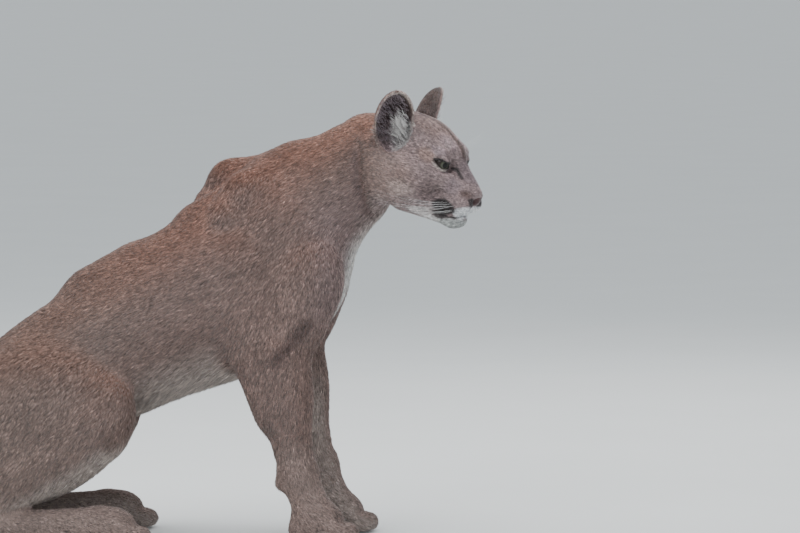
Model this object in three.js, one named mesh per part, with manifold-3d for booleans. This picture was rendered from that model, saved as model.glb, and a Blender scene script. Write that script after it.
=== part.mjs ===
// A life-size cougar, sitting upright with its head turned a little to its right, on the floor.
// Millimetres. X runs forward, Y to the animal's left and Z up from the floor, where it sits.
import * as THREE from "three";
import { mergeVertices } from "three/addons/utils/BufferGeometryUtils.js";
import Module from "manifold-3d";

const wasm = await Module();
wasm.setup();

const V = (x, y, z) => new THREE.Vector3(x, y, z);
const GAP = 0.3; // between touching solids
const LATERAL = V(0, 1, 0);

// Driving places of the trunk, on the midline.
const NECK_BASE = V(606, 0, 558);
const NECK_TOP = V(738, -10, 660);

// Driving places of the limbs, for a side of +1 (left) or -1 (right). The left foreleg stands a
// little ahead of the right, which carries its shoulder blade back.
const FORE_STEP = 16;
const step = (side) => (side > 0 ? FORE_STEP : -FORE_STEP);
const bladeTop = (side) => V(498 - step(side), side * 44, 610 + 0.5 * step(side));
const shoulder = (side) => V(636 + 0.3 * step(side), side * 84, 448);
const elbow = (side) => V(574 + 0.5 * step(side), side * 92, 318);
const wrist = (side) => V(628 + step(side), side * 78, 116);
const forePaw = (side) => V(662 + step(side), side * 76, 34);
const hip = (side) => V(62, side * 66, 178);
const knee = (side) => V(286, side * 112, 232);
const hock = (side) => V(62, side * 116, 44);
const hindPaw = (side) => V(292, side * 128, 32);

// The head's own frame starts between the eyes: x to the nose, y to the left, z up.
const HEAD_AT = V(873, -64, 651);
const HEAD_TURN = THREE.MathUtils.degToRad(27);
const HEAD_NOD = THREE.MathUtils.degToRad(16);
const EYE_RADIUS = 14;
const EYE = V(1, 36, 0);
const EYE_OUT = THREE.MathUtils.degToRad(38); // how far the gaze points sideways

// The tail's centre line on the floor, and its half thickness from root to tip.
const TAIL_LINE = [
  V(10, 0, 150), V(-48, -2, 92), V(-105, -8, 46), V(-180, -26, 31), V(-275, -62, 30),
  V(-365, -112, 30), V(-445, -172, 29), V(-505, -240, 28), V(-540, -312, 26),
];
const TAIL_HALF = [50, 44, 36, 32, 31, 31, 31, 30, 24];

const CELL = { torso: 37, neck: 26, foreleg: 26, forepaw: 14.5, hindleg: 30, hindfoot: 19, tail: 22 };
const HEAD_CELL = 10;
const NOSE_CELL = 8;

// The left ear in the head's frame: its root, its axis to the tip, the way its cup opens, and the
// half sizes of its hull and of the hollow along axis, breadth and depth.
const EAR_ROOT = V(-89, 57, 10);
const EAR_AXIS = V(-0.02, 0.26, 0.966).normalize();
const EAR_OPEN = V(0.75, 0.65, -0.16).normalize();
const EAR_HULL = { up: 37, out: 0, radii: [57, 36, 26] };
const EAR_HOLLOW = { up: 37, out: 8, radii: [51.5, 31, 26] };
const EAR_RIM = 4; // how far the hull reaches the way the cup opens

// The mouth in the head's frame: places along its line from the front to the corner.
const MOUTH = [[80, -73], [62, -75], [47, -85], [35, -87], [18, -85], [8, -82]];
const MOUTH_GAPE = 1.8;

// One soft mass: an ellipsoid with its long axis from one place to another, its width across that
// axis in the upright plane, and its thickness towards the given side.
function mass(from, to, width, thick, blend, side = LATERAL) {
  const along = to.clone().sub(from);
  const reach = along.length() / 2;
  const e1 = along.normalize();
  const e3 = side.clone().addScaledVector(e1, -side.dot(e1)).normalize();
  const e2 = e3.clone().cross(e1);
  const centre = from.clone().add(to).multiplyScalar(0.5);
  return { kind: "mass", centre, axes: [e1, e2, e3], radii: [reach, width, thick], blend,
    reach: Math.max(reach, width, thick) };
}

// A mass given by its centre and its half sizes along X, Y and Z.
const ball = (centre, rx, ry, rz, blend) =>
  ({ kind: "mass", centre, axes: [V(1, 0, 0), V(0, 1, 0), V(0, 0, 1)], radii: [rx, ry, rz], blend,
    reach: Math.max(rx, ry, rz) });

// A limb: a rod with a radius at each end, made flatter or fuller sideways by the factor.
function rod(from, to, r1, r2, blend, flat = 1) {
  const along = to.clone().sub(from);
  const centre = from.clone().addScaledVector(along, 0.5);
  return { kind: "rod", from, along, length2: along.lengthSq(), r1, r2, flat, blend, centre,
    reach: along.length() / 2 + Math.max(r1, r2) * Math.max(1, flat) };
}

const local = [0, 0, 0];
function distanceTo(m, x, y, z) {
  if (m.kind === "rod") {
    const px = x - m.from.x, py = y - m.from.y, pz = z - m.from.z;
    const share = Math.min(1, Math.max(0, (px * m.along.x + py * m.along.y + pz * m.along.z) / m.length2));
    const dx = px - share * m.along.x, dz = pz - share * m.along.z;
    const dy = (py - share * m.along.y) / m.flat;
    return Math.hypot(dx, dy, dz) - (m.r1 + (m.r2 - m.r1) * share);
  }
  const px = x - m.centre.x, py = y - m.centre.y, pz = z - m.centre.z;
  let inner = 0, slope = 0;
  for (let i = 0; i < 3; i++) {
    const a = m.axes[i];
    local[i] = (px * a.x + py * a.y + pz * a.z) / m.radii[i];
    inner += local[i] ** 2;
    slope += (local[i] / m.radii[i]) ** 2;
  }
  inner = Math.sqrt(inner);
  slope = Math.sqrt(slope);
  return slope < 1e-9 ? -Math.min(...m.radii) : (inner * (inner - 1)) / slope;
}

// Joins masses into one flowing surface: negative inside, zero on it.
function blendMin(a, b, k) {
  const h = Math.max(k - Math.abs(a - b), 0) / k;
  return Math.min(a, b) - (h * h * k) / 4;
}
function fieldOf(masses) {
  return (x, y, z) => {
    let d = 1e3;
    for (const m of masses) {
      const least = Math.hypot(x - m.centre.x, y - m.centre.y, z - m.centre.z) - m.reach;
      if (least > d + m.blend) continue;
      d = blendMin(d, distanceTo(m, x, y, z), m.blend);
    }
    return d;
  };
}

function trunkMasses() {
  const back = (x, z) => V(x, 0, z);
  return [
    mass(back(328, 322), back(672, 546), 148, 120, 40),
    mass(back(165, 246), back(492, 456), 128, 117, 60),
    mass(back(58, 160), back(290, 366), 110, 104, 50),
    mass(back(-18, 60), back(130, 262), 92, 98, 50),
    rod(back(264, 412), back(336, 446), 52, 54, 36),
    rod(back(444, 540), back(604, 628), 34, 44, 30),
    mass(back(596, 352), back(656, 590), 72, 84, 45),
    rod(NECK_BASE, NECK_TOP, 104, 72, 45, 0.88),
    rod(V(668, -2, 546), V(722, -10, 600), 50, 50, 30),
  ];
}

function shoulderMasses(side) {
  const top = bladeTop(side), point = shoulder(side), joint = elbow(side);
  return [
    mass(V(top.x - 2, top.y - side * 4, top.z + 22), V(point.x + 12, point.y, point.z - 40), 78, 40, 26),
    rod(V(top.x - 18, side * 52, top.z - 46), V(top.x + 10, side * 42, top.z - 8), 30, 26, 26),
    rod(V(top.x + 10, side * 42, top.z - 6), V(top.x + 92, side * 30, top.z + 18), 26, 27, 22),
    mass(V(point.x + 20, point.y, point.z + 60), V(joint.x - 2, joint.y, joint.z - 28), 64, 42, 26),
    mass(V(508 - step(side) / 2, side * 80, 520), V(joint.x - 26, joint.y, joint.z - 22), 58, 36, 26),
    ball(V(point.x - 2, side * 72, point.z), 56, 42, 62, 24),
  ];
}

function forelegMasses(side) {
  const joint = elbow(side), low = wrist(side);
  return [
    rod(V(joint.x + 12, joint.y, joint.z), low, 50, 30, 20, 0.86),
    mass(V(joint.x + 8, joint.y - side * 2, joint.z + 62), V(low.x - 18, low.y + side * 4, 176), 52, 40, 20),
    rod(V(joint.x - 34, joint.y, joint.z - 18), V(joint.x + 4, joint.y, joint.z - 92), 25, 30, 22, 0.9),
    ball(V(low.x + 2, low.y, low.z), 33, 33, 34, 14),
    ball(V(low.x - 26, low.y, low.z - 14), 12, 14, 12, 10),
  ];
}

// A paw: its back, four toes and the heel of the palm, standing on the floor.
function pawMasses(at, side, splay) {
  const masses = [ball(V(at.x, at.y, at.z + 2), 46, 38, 33, 16), ball(V(at.x - 16, at.y, 20), 34, 31, 24, 12)];
  for (const toe of [-1.5, -0.5, 0.5, 1.5]) {
    const forward = 52 - 7.5 * (Math.abs(toe) - 0.5);
    const across = toe * 19.5;
    const tip = V(at.x + forward, at.y + across + splay * side * 4, 17);
    masses.push(rod(V(at.x + 10, at.y + across * 0.72, 34), V(tip.x - 14, tip.y, 24), 15, 13.5, 9));
    masses.push(ball(tip, 19, 12.2, 16, 5));
  }
  return masses;
}

function forePawMasses(side) {
  const low = wrist(side), at = forePaw(side);
  return [rod(low, V(at.x - 4, at.y, at.z + 10), 31, 33, 14), ...pawMasses(at, side, 1),
    ball(V(low.x + 14, low.y - side * 33, low.z - 30), 13, 9, 16, 8)];
}

function hindlegMasses(side) {
  const top = hip(side), mid = knee(side), heel = hock(side);
  return [
    mass(V(top.x - 70, side * 74, top.z - 56), V(mid.x + 30, side * 112, mid.z + 6), 112, 56, 34),
    mass(V(top.x - 18, side * 60, top.z + 76), V(mid.x + 22, side * 100, mid.z + 24), 76, 52, 34),
    ball(V(mid.x - 2, mid.y, mid.z - 10), 52, 40, 58, 26),
    rod(V(mid.x - 20, mid.y + side * 8, mid.z - 40), V(heel.x + 34, heel.y, heel.z + 26), 50, 31, 24, 0.9),
    rod(V(heel.x, heel.y, heel.z), V(heel.x + 66, heel.y - side * 4, heel.z + 66), 24, 38, 22),
    ball(V(28, side * 52, 52), 62, 48, 56, 34),
  ];
}

function hindFootMasses(side) {
  const heel = hock(side), at = hindPaw(side);
  return [
    ball(V(heel.x - 2, heel.y, 33), 30, 25, 34, 12),
    rod(V(heel.x + 6, heel.y, 28), V(at.x - 26, at.y, 36), 27, 30, 16),
    ...pawMasses(at, side, 1),
  ];
}

function tailMasses() {
  const line = new THREE.CatmullRomCurve3(TAIL_LINE, false, "centripetal");
  const steps = 30;
  const half = (share) => {
    const at = share * (TAIL_HALF.length - 1), i = Math.min(Math.floor(at), TAIL_HALF.length - 2);
    return THREE.MathUtils.lerp(TAIL_HALF[i], TAIL_HALF[i + 1], at - i);
  };
  return Array.from({ length: steps }, (_, i) =>
    rod(line.getPoint(i / steps), line.getPoint((i + 1) / steps), half(i / steps), half((i + 1) / steps), 12));
}

// The head's masses in its own frame, for the left half: the field mirrors them.
const HEAD_MASSES = [
  ball(V(-67, 0, 8), 78, 60, 54, 10),
  ball(V(-108, 0, 0), 48, 58, 54, 24),
  ball(V(-8, 0, 14), 29, 41, 22, 16),
  rod(V(4, 14, 20), V(0, 42, 14), 9, 10, 10),
  rod(V(9, 0, 5), V(54, 0, -42), 17, 16, 12),
  rod(V(16, 34, -27), V(-55, 58, -14), 15, 18, 18),
  ball(V(-50, 46, -42), 50, 28, 52, 20),
  ball(V(22, 0, -48), 45, 33, 34, 14),
  ball(V(41, 18.5, -59), 27, 20, 20, 6),
  ball(V(60.5, 0, -45), 13, 19, 14, 5),
  ball(V(34, 0, -90), 20, 19, 15, 8),
  rod(V(34, 10, -90), V(-46, 42, -70), 16, 28, 14),
  ball(V(-50, 0, -62), 58, 48, 40, 22),
  ball(V(-90, 42, -36), 38, 30, 52, 24),
];
const EYE_DENT = ball(V(17, 38, -2), 15, 16, 11, 8);
const LID = ball(EYE, EYE_RADIUS + 2.6, EYE_RADIUS + 2.6, EYE_RADIUS + 2.6, 5);

const headBlend = fieldOf(HEAD_MASSES);
function headField(x, y, z) {
  const half = Math.abs(y);
  const dented = -blendMin(-headBlend(x, half, z), distanceTo(EYE_DENT, x, half, z), EYE_DENT.blend);
  return blendMin(dented, distanceTo(LID, x, half, z), LID.blend);
}

const headFrame = new THREE.Matrix4().makeRotationZ(-HEAD_TURN)
  .multiply(new THREE.Matrix4().makeRotationY(HEAD_NOD)).setPosition(HEAD_AT);
const toHead = headFrame.clone().invert();

const SIDES = [1, -1];
const bodyBlend = fieldOf([
  ...trunkMasses(), ...SIDES.flatMap(shoulderMasses), ...SIDES.flatMap(forelegMasses),
  ...SIDES.flatMap(hindlegMasses), ...SIDES.flatMap(forePawMasses), ...SIDES.flatMap(hindFootMasses),
  ...tailMasses(),
]);
const HEAD_BLEND = 16;
const probe = new THREE.Vector3();
function wholeField(x, y, z) {
  const body = bodyBlend(x, y, z);
  probe.set(x, y, z).applyMatrix4(toHead);
  if (probe.length() > 260) return body;
  return blendMin(body, headField(probe.x, probe.y, probe.z), HEAD_BLEND);
}

// Meshes a field inside a box: one vertex in each grid cell that the surface crosses, moved onto it.
function netOf(field, low, high, cell) {
  const n = [high.x - low.x, high.y - low.y, high.z - low.z].map((s) => Math.ceil(s / cell) + 1);
  const at = (i, j, k) => i + n[0] * (j + n[1] * k);
  const value = new Float64Array(n[0] * n[1] * n[2]);
  for (let k = 0; k < n[2]; k++)
    for (let j = 0; j < n[1]; j++)
      for (let i = 0; i < n[0]; i++) {
        const rim = i === 0 || j === 0 || k === 0 || i === n[0] - 1 || j === n[1] - 1 || k === n[2] - 1;
        const d = field(low.x + i * cell, low.y + j * cell, low.z + k * cell);
        value[at(i, j, k)] = rim ? Math.max(d, cell / 2) : d;
      }
  mendFaces(value, n, at);
  const places = [], faces = [];
  const vertex = new Map();
  const corners = [0, 1, 2, 3, 4, 5, 6, 7].map((c) => [c & 1, (c >> 1) & 1, c >> 2]);
  const edges = [];
  corners.forEach((a, i) => corners.forEach((b, j) => {
    if (i < j && Math.abs(a[0] - b[0]) + Math.abs(a[1] - b[1]) + Math.abs(a[2] - b[2]) === 1) edges.push([i, j]);
  }));
  for (let k = 0; k + 1 < n[2]; k++)
    for (let j = 0; j + 1 < n[1]; j++)
      for (let i = 0; i + 1 < n[0]; i++) {
        const v = corners.map((c) => value[at(i + c[0], j + c[1], k + c[2])]);
        const inside = v.filter((d) => d < 0).length;
        if (inside === 0 || inside === 8) continue;
        const sum = [0, 0, 0];
        let crossings = 0;
        for (const [a, b] of edges) {
          if (v[a] < 0 === v[b] < 0) continue;
          const share = v[a] / (v[a] - v[b]);
          for (let t = 0; t < 3; t++) sum[t] += corners[a][t] + share * (corners[b][t] - corners[a][t]);
          crossings++;
        }
        vertex.set(at(i, j, k), places.length);
        places.push(settle(field, V(low.x + (i + sum[0] / crossings) * cell,
          low.y + (j + sum[1] / crossings) * cell, low.z + (k + sum[2] / crossings) * cell), cell));
      }
  for (let k = 0; k + 1 < n[2]; k++)
    for (let j = 0; j + 1 < n[1]; j++)
      for (let i = 0; i + 1 < n[0]; i++) {
        const here = value[at(i, j, k)] < 0;
        const around = [
          [value[at(i + 1, j, k)] < 0, [[0, -1, -1], [0, 0, -1], [0, 0, 0], [0, -1, 0]]],
          [value[at(i, j + 1, k)] < 0, [[-1, 0, -1], [-1, 0, 0], [0, 0, 0], [0, 0, -1]]],
          [value[at(i, j, k + 1)] < 0, [[-1, -1, 0], [0, -1, 0], [0, 0, 0], [-1, 0, 0]]],
        ];
        for (const [there, ring] of around) {
          if (here === there) continue;
          const quad = ring.map(([a, b, c]) => vertex.get(at(i + a, j + b, k + c)));
          if (!here) quad.reverse();
          const near = places[quad[0]].distanceToSquared(places[quad[2]]);
          const far = places[quad[1]].distanceToSquared(places[quad[3]]);
          const [a, b, c, d] = near <= far ? quad : [quad[1], quad[2], quad[3], quad[0]];
          faces.push(a, b, c, a, c, d);
        }
      }
  return solid(places.flatMap((p) => [p.x, p.y, p.z]), faces);
}

// Turns one corner of every grid face whose corners alternate, so that the net stays two-sided.
function mendFaces(value, n, at) {
  const faces = [[[1, 0, 0], [0, 1, 0]], [[0, 1, 0], [0, 0, 1]], [[1, 0, 0], [0, 0, 1]]];
  for (let changed = true; changed; ) {
    changed = false;
    for (let k = 0; k + 1 < n[2]; k++)
      for (let j = 0; j + 1 < n[1]; j++)
        for (let i = 0; i + 1 < n[0]; i++)
          for (const [u, w] of faces) {
            const ids = [at(i, j, k), at(i + u[0], j + u[1], k + u[2]),
              at(i + u[0] + w[0], j + u[1] + w[1], k + u[2] + w[2]), at(i + w[0], j + w[1], k + w[2])];
            const [a, b, c, d] = ids.map((id) => value[id] < 0);
            if (a !== c || b !== d || a === b) continue;
            const outside = ids.filter((id) => value[id] >= 0);
            const pick = value[outside[0]] < value[outside[1]] ? outside[0] : outside[1];
            value[pick] = -0.05;
            changed = true;
          }
  }
}

// Moves a point onto the surface, by at most half a cell.
function settle(field, p, cell) {
  const start = p.clone(), h = 0.5;
  for (let i = 0; i < 3; i++) {
    const d = field(p.x, p.y, p.z);
    const g = V(field(p.x + h, p.y, p.z) - field(p.x - h, p.y, p.z),
      field(p.x, p.y + h, p.z) - field(p.x, p.y - h, p.z),
      field(p.x, p.y, p.z + h) - field(p.x, p.y, p.z - h)).divideScalar(2 * h);
    if (g.lengthSq() < 0.04) break;
    p.addScaledVector(g, -d / g.lengthSq());
    const moved = p.clone().sub(start);
    if (moved.length() > cell / 2) p.copy(start).addScaledVector(moved.normalize(), cell / 2);
  }
  return p;
}

const solid = (vertices, triangles) => new wasm.Manifold(new wasm.Mesh({
  numProp: 3, vertProperties: new Float32Array(vertices), triVerts: new Uint32Array(triangles) }));

// A three.js geometry, placed by a matrix, as a solid.
function solidOf(geometry, matrix = new THREE.Matrix4()) {
  const bare = geometry.clone().applyMatrix4(matrix);
  bare.deleteAttribute("normal");
  bare.deleteAttribute("uv");
  const merged = mergeVertices(bare, 1e-3);
  return solid(merged.getAttribute("position").array, merged.index.array);
}

function geometryOf(made) {
  const mesh = made.getMesh();
  const geometry = new THREE.BufferGeometry();
  geometry.setAttribute("position", new THREE.BufferAttribute(new Float32Array(mesh.vertProperties), 3));
  geometry.setIndex(new THREE.BufferAttribute(new Uint32Array(mesh.triVerts), 1));
  geometry.computeVertexNormals();
  return geometry;
}

const largest = (made) => made.decompose().sort((a, b) => b.volume() - a.volume())[0];

// A block that fills the side of a plane that its normal points to, starting gap past the plane.
const BLOCK = 3000;
function block(point, normal, gap = GAP / 2) {
  const turn = new THREE.Quaternion().setFromUnitVectors(V(0, 0, 1), normal.clone().normalize());
  const centre = point.clone().addScaledVector(normal.clone().normalize(), BLOCK / 2 + gap);
  return solidOf(new THREE.BoxGeometry(BLOCK, BLOCK, BLOCK), new THREE.Matrix4().compose(centre, turn, V(1, 1, 1)));
}

// An ellipsoid cutter, grown by a margin.
function pod(centre, radii, margin, turn = new THREE.Quaternion(), frame = new THREE.Matrix4(), round = 14) {
  const size = V(radii[0] + margin, radii[1] + margin, radii[2] + margin);
  return solidOf(new THREE.SphereGeometry(1, round, Math.round(round * 0.6)),
    frame.clone().multiply(new THREE.Matrix4().compose(centre, turn, size)));
}

const aboveFloor = block(V(0, 0, 0), V(0, 0, 1), 0);

// Where each part ends.
const NECK_CUT = [V(604, 0, 560), V(0.80, -0.05, 0.60)];
const HEAD_CUT = [V(738, -90, 600), V(0.95, 0.04, 0.3)];
const WRIST_CUT_Z = 112;
const HEEL_CUT = (side) => [V(hock(side).x + 34, 0, 64), V(0.34, 0, -0.94)];
const TAIL_CUTS = [[V(-66, 0, 70), V(-0.86, 0, -0.5)], [V(-275, -62, 30), V(-0.9, -0.44, 0)],
  [V(-470, -198, 29), V(-0.64, -0.77, 0)]];

// The shoulder and upper arm, and the thigh, part from the torso along one pod each.
const armPod = (side, margin) => {
  const top = shoulder(side), low = elbow(side);
  const turn = new THREE.Quaternion().setFromUnitVectors(V(0, 0, 1), top.clone().sub(low).normalize());
  return pod(V((top.x + low.x) / 2 - 4, side * 128, (top.z + low.z) / 2 + 4), [96, 84, 176], margin, turn);
};
const legBox = (side, x0, x1, z1, y0, margin) =>
  solidOf(new THREE.BoxGeometry(x1 - x0 + 2 * margin, 200 + 2 * margin, z1 + 200 + 2 * margin),
    new THREE.Matrix4().makeTranslation((x0 + x1) / 2, side * (y0 + 100), (z1 - 200) / 2));
const forelegRoom = (side, margin) => armPod(side, margin).add(legBox(side, 480, 760, 296, 0.5, margin));
const thighPod = (side, margin) =>
  pod(V(150, side * 132, 150), [232, 88, 158], margin, new THREE.Quaternion().setFromAxisAngle(V(0, 1, 0), -0.22));
const hindlegRoom = (side, margin) =>
  thighPod(side, margin).add(legBox(side, 20, 420, 66, 62, margin)).add(legBox(side, 160, 420, 214, 48, margin));

const material = (colour, roughness) => new THREE.MeshStandardMaterial({ color: colour, roughness, metalness: 0 });
const COAT = material(0x85685a, 0.9);
const COAT_PALE = material(0xa08d80, 0.9);
const EAR = material(0x6d564c, 0.9);
const TAIL_DARK = material(0x4a3a33, 0.9);
const NOSE = material(0x5a3a38, 0.5);
const EYE_GLASS = material(0x6d6a44, 0.1);

const cougar = new THREE.Group();
function add(name, made, finish) {
  const mesh = new THREE.Mesh(geometryOf(largest(made)), finish);
  mesh.name = name;
  cougar.add(mesh);
}
const behind = ([point, normal]) => block(point, normal.clone().negate());
const beyond = ([point, normal]) => block(point, normal);
const whole = (low, high, cell) => netOf(wholeField, low, high, cell).intersect(aboveFloor);

function buildTorso() {
  let torso = whole(V(-110, -190, -24), V(800, 190, 760), CELL.torso)
    .intersect(behind(NECK_CUT)).intersect(behind(TAIL_CUTS[0]));
  for (const side of SIDES) torso = torso.subtract(forelegRoom(side, GAP / 2)).subtract(hindlegRoom(side, GAP / 2));
  add("torso", torso, COAT);
}

function buildNeck() {
  add("neck", whole(V(500, -160, 400), V(860, 160, 800), CELL.neck)
    .intersect(beyond(NECK_CUT)).intersect(behind(HEAD_CUT)), COAT);
}

function buildForeleg(side, name) {
  const cut = [V(0, 0, WRIST_CUT_Z), V(0, 0, 1)];
  const leg = whole(V(460, side > 0 ? -30 : -190, 80), V(760, side > 0 ? 190 : 30, 700), CELL.foreleg)
    .intersect(forelegRoom(side, -GAP / 2)).intersect(beyond(cut)).intersect(behind(NECK_CUT));
  add("foreleg_" + name, leg, COAT);
  const paw = whole(V(560, side > 0 ? -10 : -150, -12), V(790, side > 0 ? 150 : 10, 140), CELL.forepaw)
    .intersect(forelegRoom(side, -GAP / 2)).intersect(behind(cut));
  add("forepaw_" + name, paw, COAT_PALE);
}

function buildHindleg(side, name) {
  const cut = HEEL_CUT(side);
  const room = hindlegRoom(side, -GAP / 2);
  add("hindleg_" + name, whole(V(-110, side > 0 ? 20 : -200, -24), V(400, side > 0 ? 200 : -20, 360), CELL.hindleg)
    .intersect(room).intersect(behind(cut)), COAT);
  add("hindfoot_" + name, whole(V(0, side > 0 ? 40 : -200, -12), V(400, side > 0 ? 200 : -40, 130), CELL.hindfoot)
    .intersect(room).intersect(beyond(cut)), COAT_PALE);
}

function buildTail() {
  const tail = whole(V(-600, -380, -18), V(-20, 60, 150), CELL.tail);
  add("tail_root", tail.intersect(beyond(TAIL_CUTS[0])).intersect(behind(TAIL_CUTS[1])), COAT);
  add("tail_middle", tail.intersect(beyond(TAIL_CUTS[1])).intersect(behind(TAIL_CUTS[2])), COAT);
  add("tail_tip", tail.intersect(beyond(TAIL_CUTS[2])), TAIL_DARK);
}

// The left or right ear's frame in the head: across, up its axis, and the way the cup opens.
function earFrame(side) {
  const flip = V(1, side, 1);
  const up = EAR_AXIS.clone().multiply(flip), open = EAR_OPEN.clone().multiply(flip);
  open.addScaledVector(up, -open.dot(up)).normalize();
  return new THREE.Matrix4().makeBasis(up.clone().cross(open), up, open)
    .setPosition(EAR_ROOT.clone().multiply(flip)).premultiply(headFrame);
}
const earPod = (side, { up, out, radii }, margin) =>
  pod(V(0, up, out), [radii[1], radii[0], radii[2]], margin, new THREE.Quaternion(), earFrame(side));
function earHull(side, margin) {
  const frame = earFrame(side);
  const rim = V(0, 0, EAR_RIM).applyMatrix4(frame), open = V(0, 0, -1).transformDirection(frame);
  return earPod(side, EAR_HULL, margin).intersect(block(rim, open, -margin));
}

// The eye's opening: where two wide rods cross, set a little oblique, along the gaze.
function eyeOpening(side) {
  const radius = 17, offset = 10.2, tilt = THREE.MathUtils.degToRad(9);
  const gaze = new THREE.Matrix4().makeRotationZ(side * EYE_OUT)
    .multiply(new THREE.Matrix4().makeRotationX(side * tilt)).setPosition(EYE.x, side * EYE.y, EYE.z);
  const rodAt = (dz) => solidOf(new THREE.CylinderGeometry(radius, radius, 30, 24).rotateZ(Math.PI / 2),
    headFrame.clone().multiply(gaze).multiply(new THREE.Matrix4().makeTranslation(18, 0, dz)));
  return rodAt(-offset).intersect(rodAt(offset));
}

// The slit between the lips: a thin sheet that follows the line of the mouth.
function mouthSlit() {
  const [front, corner] = [MOUTH[0][0], MOUTH[MOUTH.length - 1][0]];
  const sheet = new THREE.BoxGeometry(front - corner, 120, MOUTH_GAPE, 14, 1, 1)
    .translate((front + corner) / 2, 0, 0);
  const place = sheet.getAttribute("position");
  for (let i = 0; i < place.count; i++) {
    const x = place.getX(i);
    const after = Math.max(1, MOUTH.findIndex(([at]) => at <= x + 1e-6));
    const [a, b] = [MOUTH[after - 1], MOUTH[after]];
    place.setZ(i, place.getZ(i) + THREE.MathUtils.mapLinear(x, a[0], b[0], a[1], b[1]));
  }
  return solidOf(sheet, headFrame);
}

const eyeBall = (side, margin) => pod(V(EYE.x, side * EYE.y, EYE.z),
  [EYE_RADIUS, EYE_RADIUS, EYE_RADIUS], margin, new THREE.Quaternion(), headFrame);
const noseRoom = (margin) => pod(V(67, 0, -46), [15, 22, 12.5], margin,
  new THREE.Quaternion().setFromAxisAngle(V(0, 1, 0), 0.5), headFrame);
const nostril = (side) => pod(V(73, side * 9.5, -50), [11, 4.2, 5.2], 0,
  new THREE.Quaternion().setFromEuler(new THREE.Euler(0, 0.35, side * 0.5)), headFrame);

function buildHead() {
  const box = [V(690, -230, 480), V(980, 90, 800)];
  let head = whole(...box, HEAD_CELL).intersect(beyond(HEAD_CUT)).subtract(mouthSlit())
    .subtract(noseRoom(GAP / 2));
  const tip = V(67, 0, -46).applyMatrix4(headFrame);
  let nose = whole(tip.clone().subScalar(32), tip.clone().addScalar(32), NOSE_CELL)
    .intersect(noseRoom(-GAP / 2));
  for (const side of SIDES) {
    const name = side > 0 ? "left" : "right";
    head = head.subtract(earHull(side, GAP)).subtract(earPod(side, EAR_HOLLOW, 0));
    head = head.subtract(eyeBall(side, GAP)).subtract(eyeOpening(side)).subtract(nostril(side));
    nose = nose.subtract(nostril(side));
    add("ear_" + name, earHull(side, 0).subtract(earPod(side, EAR_HOLLOW, 0)), EAR);
    add("eye_" + name, eyeBall(side, 0), EYE_GLASS);
  }
  add("head", head, COAT);
  add("nose", nose, NOSE);
}

buildTorso();
buildNeck();
SIDES.forEach((side) => {
  const name = side > 0 ? "left" : "right";
  buildForeleg(side, name);
  buildHindleg(side, name);
});
buildTail();
buildHead();

// The part's origin is on the floor under the middle of its bounding box.
const bounds = new THREE.Box3().setFromObject(cougar);
const middle = bounds.getCenter(new THREE.Vector3());
for (const mesh of cougar.children) mesh.geometry.translate(-middle.x, -middle.y, 0);

export default cougar;
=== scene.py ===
"""A life-size cougar sitting on the floor: its skin, short coat, eyes, nose and whiskers, dressed
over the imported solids. Shapes are worked out in millimetres in the sculptor's own space, as the
part's source does, and moved into the frame, in metres, where the frame's right eye says."""
import math
import bpy
import numpy as np
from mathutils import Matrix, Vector


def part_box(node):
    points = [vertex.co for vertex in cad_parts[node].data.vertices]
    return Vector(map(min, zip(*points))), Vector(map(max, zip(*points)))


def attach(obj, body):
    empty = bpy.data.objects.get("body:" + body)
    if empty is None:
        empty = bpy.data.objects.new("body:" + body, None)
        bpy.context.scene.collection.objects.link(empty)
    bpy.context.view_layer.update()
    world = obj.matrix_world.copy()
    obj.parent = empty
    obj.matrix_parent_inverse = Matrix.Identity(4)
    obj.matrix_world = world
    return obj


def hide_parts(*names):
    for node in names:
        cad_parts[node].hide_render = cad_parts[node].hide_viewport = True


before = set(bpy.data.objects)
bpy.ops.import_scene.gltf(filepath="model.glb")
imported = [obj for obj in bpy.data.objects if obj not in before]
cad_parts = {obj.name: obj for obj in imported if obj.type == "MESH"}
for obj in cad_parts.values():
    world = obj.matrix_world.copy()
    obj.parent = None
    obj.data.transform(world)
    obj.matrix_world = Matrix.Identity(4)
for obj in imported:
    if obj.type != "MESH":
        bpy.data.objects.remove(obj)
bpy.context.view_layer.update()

RNG = np.random.default_rng(7)
SIDES = (1, -1)

# Driving places of the trunk, on the midline, in millimetres.
NECK_BASE = (606, 0, 558)
NECK_TOP = (738, -10, 660)
FORE_STEP = 16


def V(x, y, z):
    return np.array((x, y, z), float)


def step(side):
    return side * FORE_STEP


def blade_top(side):
    return V(498 - step(side), side * 44, 610 + 0.5 * step(side))


def shoulder(side):
    return V(636 + 0.3 * step(side), side * 84, 448)


def elbow(side):
    return V(574 + 0.5 * step(side), side * 92, 318)


def wrist(side):
    return V(628 + step(side), side * 78, 116)


def fore_paw(side):
    return V(662 + step(side), side * 76, 34)


def hip(side):
    return V(62, side * 66, 178)


def knee(side):
    return V(286, side * 112, 232)


def hock(side):
    return V(62, side * 116, 44)


def hind_paw(side):
    return V(292, side * 128, 32)


# The head's own frame starts between the eyes: x to the nose, y to the left, z up.
HEAD_AT = V(873, -64, 651)
HEAD_TURN = math.radians(27)
HEAD_NOD = math.radians(16)
EYE_RADIUS = 14
EYE = V(1, 36, 0)
EYE_OUT = math.radians(38)
EYE_TILT = math.radians(9)
LID_ARC = 17
LID_OFFSET = 10.2
LID_BROW = 2.6  # how high the straight upper lid stands above the eye's middle
LID_SLOPE = 0.12
GAZE_OUT = math.radians(33)
GAZE_DOWN = math.radians(5)
CORNEA = 1.0  # how far the eye's clear front stands out
EYE_GAP = 0.15  # how far the eye stays inside its solid

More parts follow.
